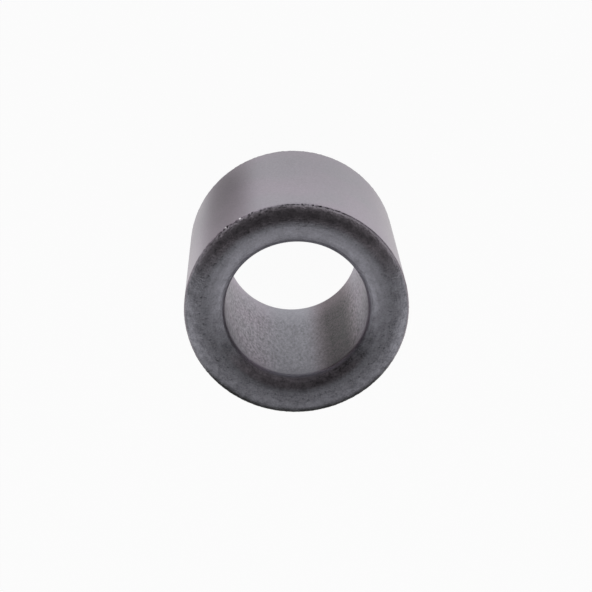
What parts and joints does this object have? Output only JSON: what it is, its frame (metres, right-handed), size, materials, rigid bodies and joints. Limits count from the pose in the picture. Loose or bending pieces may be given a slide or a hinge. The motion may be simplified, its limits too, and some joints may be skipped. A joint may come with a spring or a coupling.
{
  "type": "ferrite toroid core",
  "caption": "Bare ferrite toroid core: a tall thick-walled ring with a plain through bore, rounded bore mouths and rims, for chokes and cable noise suppression.",
  "frame": {"origin": "centre of the lower flat end, on the ring's axis", "axes": "+Z along the ring's axis, from the lower flat end to the upper one; +X and +Y are any two directions square to it, because the ring is round"},
  "size_m": [0.025, 0.025, 0.022],
  "materials": {
    "ferrite": "bare, fired, satin"
  },
  "bodies": {
    "root": {"ferrite_core": "ferrite"}
  },
  "joints": []
}
